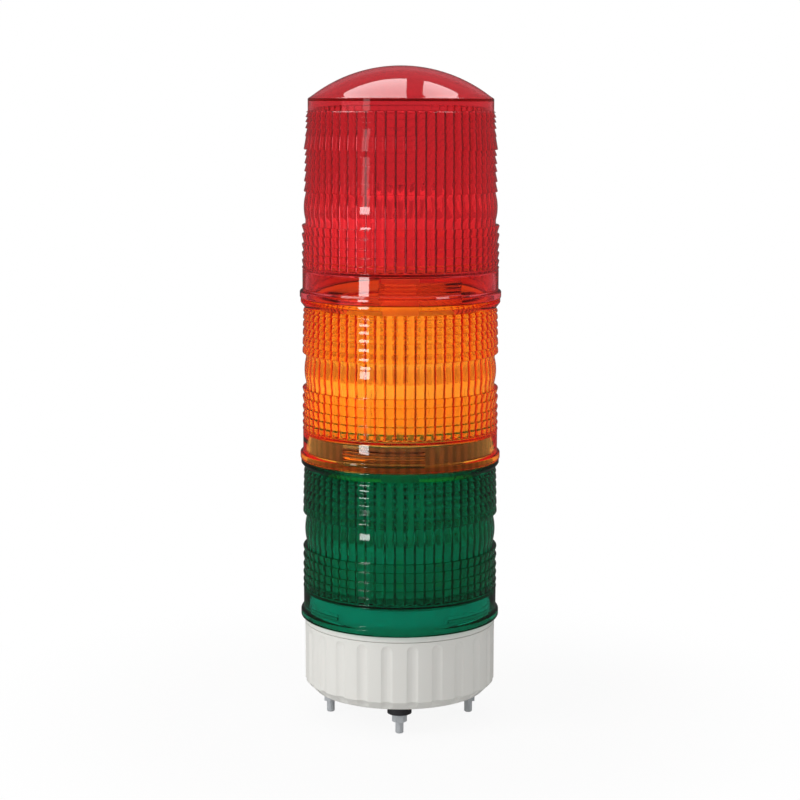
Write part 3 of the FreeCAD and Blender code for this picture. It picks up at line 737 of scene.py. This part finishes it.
@dataclass
class StageLens(RingLens):
    """Lens that carries the next one: rounded rings above the bulge, a shoulder and a spigot."""

    spigot_lugs: float = 0.0
    spigot_coat: Finish | None = None
    pitch: float = 100.7
    seal: float = 0.5
    upper_tip_fall: float = 0.12
    neck_offset: float = 39.1
    shoulder_r: float = 62.0
    shoulder_undercut: float = 3.2
    shoulder_height: float = 2.3
    rib_end: float = 5.0
    spigot_r: float = 57.05
    spigot_height: float = 15.0
    spigot_lug_r: float = 58.05
    lug_gap: float = 0.3
    stop_span: float = 1.5
    first_root: float = 0.3
    upper_tip_bevel: float = 0.25
    upper_tip_share: float = 0.55
    coat_margin: float = 0.5

    @property
    def stop_turn(self) -> float:
        """Angle of the stop that ends the twist, just before the spigot's lug."""
        gap = math.degrees(self.lug_gap / self.lug_r)
        return self.spigot_lugs - (self.lug_span + self.stop_span) / 2 - gap

    def edge_turns(self) -> list[tuple[float, float]]:
        """Sectors of the lens's own lugs, the spigot's lugs and the stops."""
        spigot = [(self.spigot_lugs, self.lug_span), (self.stop_turn, self.stop_span)]
        return super().edge_turns() + spigot

    def outer_end(self) -> np.ndarray:
        """Corners from the bulge to the shoulder's top edge.

        Each ring has a flat underside, and its outside narrows from upper_tip_share of its height on.

        Returns:
            Rows of radius, height and rounding.
        """
        depth = self.ring_tip_r - self.ring_root_r
        corners = []
        following = self.ring_offsets[1:] + (self.neck_offset,)
        root = self.bulge_edge_r + self.first_root
        for number, (offset, end) in enumerate(zip(self.ring_offsets, following)):
            tip = self.ring_tip_r - self.upper_tip_fall * number
            corners.append((root, self.focus + offset, 0.15))
            corners.append((tip, self.focus + offset, 0.9))
            narrow = self.focus + offset + self.upper_tip_share * (end - offset)
            corners.append((tip - self.upper_tip_bevel, narrow, 1.6))
            root = tip - depth
        shoulder_top = self.pitch - self.seal
        low = shoulder_top - self.shoulder_height
        corners += [
            (root, self.focus + self.neck_offset, 0.2),
            (self.ring_root_r, low - self.shoulder_undercut, 0.3),
            (self.shoulder_r, low, 0.5),
            (self.shoulder_r, shoulder_top, 0.3),
            (self.spigot_r, shoulder_top, 0.0),
        ]
        return np.array(corners)

    def build(self, palette: Palette) -> bpy.types.Object:
        """Make the lens, and coat the outside of its spigot if it has a coat.

        Args:
            palette: finishes of the light.

        Returns:
            The lens.
        """
        piece = super().build(palette)
        if self.spigot_coat:
            middles = np.empty(len(piece.data.polygons) * 3, np.float32)
            piece.data.polygons.foreach_get("center", middles)
            x, y, z = middles.reshape(-1, 3).T / MM
            outside = np.hypot(x, y) > self.spigot_r - self.coat_margin
            palette.coat(piece, self.spigot_coat, outside & (z > self.plane + self.pitch))
        return piece

    def spigot_rows(self) -> tuple[np.ndarray, np.ndarray]:
        """Outside of the spigot, going up: plain, with lugs and stops standing out in their sectors.

        Returns:
            Radius of every row and column, and the heights of the rows.
        """
        low = self.pitch + self.lug_rise
        lug_low = low + self.lug_height + self.lug_gap
        lug_high = lug_low + self.lug_height
        sides = (-self.half_step, self.half_step)
        edges = [self.pitch - self.seal + self.half_step]
        edges += [level + side for level in (low, lug_low, lug_high) for side in sides]
        height = np.array(edges + [self.pitch + self.spigot_height])
        lug_sector = self.in_sector(self.spigot_lugs, self.lug_span)
        stop_sector = self.in_sector(self.stop_turn, self.stop_span)
        lug = np.outer((height > lug_low) & (height < lug_high), lug_sector)
        stop = np.outer((height > low) & (height < lug_high), stop_sector)
        radius = self.spigot_r + (self.spigot_lug_r - self.spigot_r) * np.maximum(lug, stop)
        return radius, height

    def surface(self) -> tuple[np.ndarray, np.ndarray, bool]:
        """The closed section: up the outside, over the spigot and down the ribbed bore.

        Returns:
            Radius and height of every row and column, and that the last row joins the first.
        """
        outside = np.vstack([rounded(self.outer_start()), self.bulge(), rounded(self.outer_end())])
        rib_high = self.pitch - self.seal - self.rib_end
        ribs = self.rib_rows(rib_high)
        spigot_high = self.pitch + self.spigot_height
        top = np.array([(self.bore_r, spigot_high), (self.bore_r, rib_high + self.half_step)])
        collar = self.collar_rows()
        down = [(ribs[0][::-1], ribs[1][::-1]), (collar[0][::-1], collar[1][::-1])]
        radius, height = stack_rows(self.even(outside), self.spigot_rows(), self.even(top), *down)
        return radius, height, True


@dataclass
class DomeLens(RingLens):
    """Top lens: sawtooth rings that narrow towards a plain rim, and a dome."""

    red_offsets: tuple[float, ...] = (9.7, 15.8, 21.9, 26.7, 31.6, 35.3, 43.2, 48.0, 51.7, 54.7, 57.7)
    red_tip_r: float = 59.8
    red_tip_slope: float = 0.028
    red_ring_depth: float = 1.4
    proud_ring: int = 5
    proud: float = 0.6
    rim_offset: float = 58.6
    rim_height: float = 121.8
    rim_r: float = 57.1
    rim_ledge: float = 0.8
    dome_rise: float = 19.75
    dome_wall: float = 2.4
    rim_drop: float = 0.3
    ledge_rise: float = 0.2
    ledge_run: float = 0.6
    dome_inset: float = 1.5
    apex_r: float = 1.0
    outer_dome_rows: int = 24
    inner_dome_rows: int = 16

    @property
    def dome_radius(self) -> float:
        """Radius of the dome's outer sphere, from its rise and its edge."""
        edge = self.rim_r - self.rim_ledge
        return (edge**2 + self.dome_rise**2) / (2 * self.dome_rise)

    def outer_end(self) -> np.ndarray:
        """Corners from the bulge to the dome's edge.

        Each ring has a flat underside and a straight slope from its tip to the next ring's root.

        Returns:
            Rows of radius, height and rounding.
        """
        corners = []
        following = self.red_offsets[1:] + (self.rim_offset,)
        root = self.red_tip_r - self.red_ring_depth
        for number, (offset, end) in enumerate(zip(self.red_offsets, following)):
            tip = self.red_tip_r - self.red_tip_slope * (offset - self.red_offsets[0])
            tip += self.proud if number == self.proud_ring else 0.0
            corners.append((root, self.focus + offset, 0.08))
            corners.append((tip, self.focus + offset, 0.25))
            root = tip - self.red_ring_depth
        corners += [
            (self.rim_r, self.focus + self.rim_offset, 0.2),
            (self.rim_r, self.rim_height - self.rim_drop, 0.9),
            (self.rim_r - self.rim_ledge, self.rim_height + self.ledge_rise, 0.6),
            (self.rim_r - self.rim_ledge - self.ledge_run, self.rim_height + self.ledge_run, 0.0),
        ]
        return np.array(corners)

    def dome(self, radius: float, edge: float, tip: float, rows: int) -> np.ndarray:
        """Points of a spherical cap from its edge to near its apex, by equal angles.

        Args:
            radius: radius of the sphere.
            edge: distance of the cap's edge from the axis.
            tip: distance of the last row from the axis.
            rows: number of rows.

        Returns:
            Rows of radius and height.
        """
        centre = self.rim_height + self.dome_rise - self.dome_radius
        turn = np.linspace(math.asin(edge / radius), math.asin(tip / radius), rows)
        return np.column_stack([radius * np.sin(turn), centre + radius * np.cos(turn)])

    def surface(self) -> tuple[np.ndarray, np.ndarray, bool]:
        """The open section: from the inner apex down the bore to the foot, then up to the outer apex.

        Returns:
            Radius and height of every row and column, and that the last row doesn't join the first.
        """
        outside = np.vstack([rounded(self.outer_start()), self.bulge(), rounded(self.outer_end())])
        edge = self.rim_r - self.rim_ledge
        outer_dome = self.dome(
            self.dome_radius, edge - self.dome_inset, self.apex_r, self.outer_dome_rows
        )
        rib_high = self.focus + self.rim_offset
        inner_radius = self.dome_radius - self.dome_wall
        inner_dome = self.dome(inner_radius, self.bore_r, self.apex_r, self.inner_dome_rows)
        ribs = self.rib_rows(rib_high)
        collar = self.collar_rows()
        inner = self.even(np.array([(self.bore_r, rib_high + self.half_step)]))
        foot = self.even(np.array([(self.collar_bore + self.foot_bevel, 0.0)]))
        radius, height = stack_rows(
            self.even(inner_dome[::-1]),
            inner,
            (ribs[0][::-1], ribs[1][::-1]),
            (collar[0][::-1], collar[1][::-1]),
            foot,
            self.even(outside[1:]),
            self.even(outer_dome),
        )
        return radius, height, False


# ---- Carried-over pieces --------------------------------------------------------------------------------


@dataclass
class CarriedOver:
    """Nodes of the frame whose shape is right as it is, with the finish that each one gets."""

    finishes: dict[str, Finish] = field(
        default_factory=lambda: {
            "base_housing": Finish.BASE,
            "base_top_cover": Finish.BASE,
            "cover_screws": Finish.ZINC,
            "stud_plate": Finish.ZINC,
            "mounting_studs": Finish.ZINC,
            "mounting_pads": Finish.RUBBER,
            "flange_nuts": Finish.ZINC,
            "cable_grommet": Finish.RUBBER,
            "control_board": Finish.BOARD,
            "board_standoffs": Finish.DRUM,
            "board_screws": Finish.ZINC,
            "terminal_block": Finish.BLACK,
            "board_capacitors": Finish.BLACK,
            "driver_chips": Finish.BLACK,
            "column_foot": Finish.DRUM,
            "foot_screws": Finish.ZINC,
            "column_tube": Finish.ALUMINIUM,
            "lower_spacer": Finish.DRUM,
            "upper_spacer": Finish.DRUM,
            "column_washer": Finish.ZINC,
            "column_nut": Finish.DRUM,
            "column_leads": Finish.LEAD,
            "base_seal_ring": Finish.SEAL,
            "green_seal_ring": Finish.SEAL,
            "amber_seal_ring": Finish.SEAL,
        }
    )

    def build(self, palette: Palette) -> None:
        """Dress each node, and the lamp unit of each stage.

        Args:
            palette: finishes of the light.
        """
        finishes = dict(self.finishes)
        for stage in Stage:
            finishes[stage.value + "_lamp_drum"] = Finish.DRUM
            finishes[stage.value + "_light_boards"] = Finish.STRIP
            finishes[stage.value + "_diodes"] = Finish.DIODE
        for node, finish in finishes.items():
            palette.dress(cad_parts[node], finish)
            log.info("%s: carried over as %s", node, finish.value.name)


# ---- Studio ---------------------------------------------------------------------------------------------


@dataclass
class Softbox:
    """Rectangular lamp, which may light matt surfaces, shine in glossy ones, or both."""

    name: str
    place: tuple[float, float, float]
    aim: tuple[float, float, float]
    width: float
    height: float
    strength: float
    lights: bool = True
    shines: bool = True

    def build(self) -> None:
        """Add the lamp. Its strength is its radiance, so its power is that times its area and pi."""
        data = bpy.data.lights.new(self.name, "AREA")
        data.shape = "RECTANGLE"
        data.size, data.size_y = self.width, self.height
        data.energy = self.strength * self.width * self.height * math.pi
        lamp = bpy.data.objects.new(self.name, data)
        bpy.context.scene.collection.objects.link(lamp)
        lamp.location = self.place
        lamp.rotation_euler = (Vector(self.place) - Vector(self.aim)).to_track_quat("Z", "Y").to_euler()
        lamp.visible_camera = False
        lamp.visible_glossy = self.shines
        lamp.visible_diffuse = self.lights
        lamp.visible_transmission = self.lights
        log.info("%s: lamp of %.2f by %.2f m", self.name, self.width, self.height)


@dataclass
class Studio:
    """Pale floor, surroundings that each kind of ray sees at its own level, lamps and the camera."""

    lens: float = 88.1
    sensor: float = 36.0
    distance: float = 1.2126
    camera_height: float = 0.3835
    camera_pitch: float = 8.53
    camera_roll: float = 0.14
    camera_aside: float = -0.00015
    fill: float = 0.72
    inner_fill: float = 3.2
    clear_front: float = 0.15
    gloss_level: float = 0.08
    clear_edges: tuple[float, float] = (-0.25, 0.45)
    floor_size: float = 1.0
    floor_colour: str = "#F4F4F4"
    shadow_share: float = 0.1
    shadow_near: float = 0.12
    shadow_far: float = 0.32
    light_bounces: int = 64
    diffuse_bounces: int = 16

    def build(self) -> None:
        """Make everything round the light."""
        self.camera()
        self.world()
        self.floor()
        for lamp in (
            Softbox("key_left", (-1.36, -0.72, 0.67), (0, 0, 0.23), 0.9, 1.2, 3.6, shines=False),
            Softbox("gleam_left", (-0.82, -0.92, 0.3), (0, 0, 0.26), 0.26, 0.34, 9.0, lights=False),
            Softbox("gleam_teeth", (-0.8, -0.9, 0.6), (0, 0, 0.26), 0.18, 0.3, 1.3, lights=False),
            Softbox("gleam_dome_left", (-0.29, 0.35, 1.2), (-0.29, 0.35, 0), 0.66, 0.6, 3.6, lights=False),
            Softbox("gleam_dome_right", (0.33, 0.35, 1.2), (0.33, 0.35, 0), 0.34, 0.6, 3.6, lights=False),
        ):
            lamp.build()
        scene = bpy.context.scene
        scene.view_settings.view_transform = "Standard"
        scene.cycles.max_bounces = self.light_bounces
        scene.cycles.transmission_bounces = self.light_bounces
        scene.cycles.glossy_bounces = self.light_bounces
        scene.cycles.diffuse_bounces = self.diffuse_bounces

    def camera(self) -> None:
        """Put the camera in front, a little above, looking down."""
        data = bpy.data.cameras.new("camera")
        data.lens = self.lens
        data.sensor_width = self.sensor
        camera = bpy.data.objects.new("camera", data)
        bpy.context.scene.collection.objects.link(camera)
        camera.location = (self.camera_aside, -self.distance, self.camera_height)
        pitch = Matrix.Rotation(math.radians(90 - self.camera_pitch), 3, "X")
        roll = Matrix.Rotation(math.radians(self.camera_roll), 3, "Z")
        camera.rotation_euler = (pitch @ roll).to_euler()
        bpy.context.scene.camera = camera

    def world(self) -> None:
        """Surroundings that are white to the camera and dark in front to clear plastic.

        The camera sees plain white, and gloss a dark room with lamps in it. Clear plastic sees a level
        that steps smoothly from dark to white as the direction turns from the front to the back. Light
        that a matt surface gathers has one level in the open, and another through clear plastic.
        """
        world = bpy.data.worlds.new("white_surroundings")
        world.use_nodes = True
        tree = world.node_tree
        tree.nodes.clear()
        path = add_node(tree, "ShaderNodeLightPath")
        place = add_node(tree, "ShaderNodeTexCoord")
        parts = add_node(tree, "ShaderNodeSeparateXYZ", links={"Vector": place.outputs["Generated"]})
        through = add_node(
            tree,
            "ShaderNodeMapRange",
            {
                "interpolation_type": "SMOOTHSTEP",
                "From Min": self.clear_edges[0],
                "From Max": self.clear_edges[1],
                "To Min": self.clear_front,
                "To Max": 1.0,
            },
            {"Value": parts.outputs["Y"]},
        )
        gathered = add_node(
            tree, "ShaderNodeMath", {"operation": "GREATER_THAN", 1: 0.5}, {0: path.outputs["Diffuse Depth"]}
        )
        clear = add_node(
            tree,
            "ShaderNodeMix",
            {"data_type": "FLOAT", "B": self.inner_fill},
            {"Factor": gathered.outputs[0], "A": through.outputs["Result"]},
        )
        glossy = add_node(
            tree,
            "ShaderNodeMix",
            {"data_type": "FLOAT", "A": self.fill, "B": self.gloss_level},
            {"Factor": path.outputs["Is Glossy Ray"]},
        )
        bent = add_node(
            tree,
            "ShaderNodeMix",
            {"data_type": "FLOAT"},
            {
                "Factor": path.outputs["Is Transmission Ray"],
                "A": glossy.outputs["Result"],
                "B": clear.outputs["Result"],
            },
        )
        strength = add_node(
            tree,
            "ShaderNodeMix",
            {"data_type": "FLOAT", "B": 1.0},
            {"Factor": path.outputs["Is Camera Ray"], "A": bent.outputs["Result"]},
        )
        background = add_node(
            tree,
            "ShaderNodeBackground",
            {"Color": WHITE},
            {"Strength": strength.outputs["Result"]},
        )
        add_node(tree, "ShaderNodeOutputWorld", links={"Surface": background.outputs["Background"]})
        bpy.context.scene.world = world

    def floor(self) -> None:
        """Floor that shows white to the camera, with part of its own light and shade left in."""
        half = self.floor_size / 2
        mesh = bpy.data.meshes.new("floor")
        corners = [(-half, -half, 0), (half, -half, 0), (half, half, 0), (-half, half, 0)]
        mesh.from_pydata(corners, [], [(0, 1, 2, 3)])
        floor = bpy.data.objects.new("floor", mesh)
        bpy.context.scene.collection.objects.link(floor)
        material, tree = new_material("pale_floor")
        path = add_node(tree, "ShaderNodeLightPath")
        place = add_node(tree, "ShaderNodeTexCoord")
        away = add_node(
            tree, "ShaderNodeVectorMath", {"operation": "LENGTH"}, {"Vector": place.outputs["Object"]}
        )
        faded = add_node(
            tree,
            "ShaderNodeMapRange",
            {
                "interpolation_type": "SMOOTHSTEP",
                "From Min": self.shadow_near,
                "From Max": self.shadow_far,
                "To Min": 1.0 - self.shadow_share,
                "To Max": 1.0,
            },
            {"Value": away.outputs["Value"]},
        )
        matt = add_node(tree, "ShaderNodeBsdfDiffuse", {"Color": linear(self.floor_colour)})
        white = add_node(tree, "ShaderNodeEmission", {"Color": WHITE, "Strength": 1.0})
        seen = add_node(
            tree,
            "ShaderNodeMath",
            {"operation": "MAXIMUM"},
            {0: path.outputs["Is Camera Ray"], 1: path.outputs["Is Transmission Ray"]},
        )
        share = add_node(
            tree,
            "ShaderNodeMath",
            {"operation": "MULTIPLY"},
            {0: seen.outputs[0], 1: faded.outputs["Result"]},
        )
        mix = add_node(
            tree,
            "ShaderNodeMixShader",
            links={"Fac": share.outputs[0], 1: matt.outputs["BSDF"], 2: white.outputs["Emission"]},
        )
        add_node(tree, "ShaderNodeOutputMaterial", links={"Surface": mix.outputs["Shader"]})
        mesh.materials.append(material)
        floor.visible_glossy = False


# ---- The whole light ------------------------------------------------------------------------------------


def main() -> None:
    """Build the stack light in its frame, and the studio round it."""
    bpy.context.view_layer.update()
    palette = Palette()
    CarriedOver().build(palette)
    green = StageLens(
        Stage.GREEN,
        Finish.GREEN_LENS,
        BASE_LUG_TURN,
        thread_depth=0.0,
        spigot_lugs=GREEN_LUG_TURN,
        spigot_coat=Finish.LIGHT_STOP,
    )
    green.build(palette)
    amber = StageLens(Stage.AMBER, Finish.AMBER_LENS, GREEN_LUG_TURN, spigot_lugs=AMBER_LUG_TURN)
    amber.build(palette)
    DomeLens(Stage.RED, Finish.RED_LENS, AMBER_LUG_TURN).build(palette)
    Studio().build()


if __name__ == "__main__":
    main()
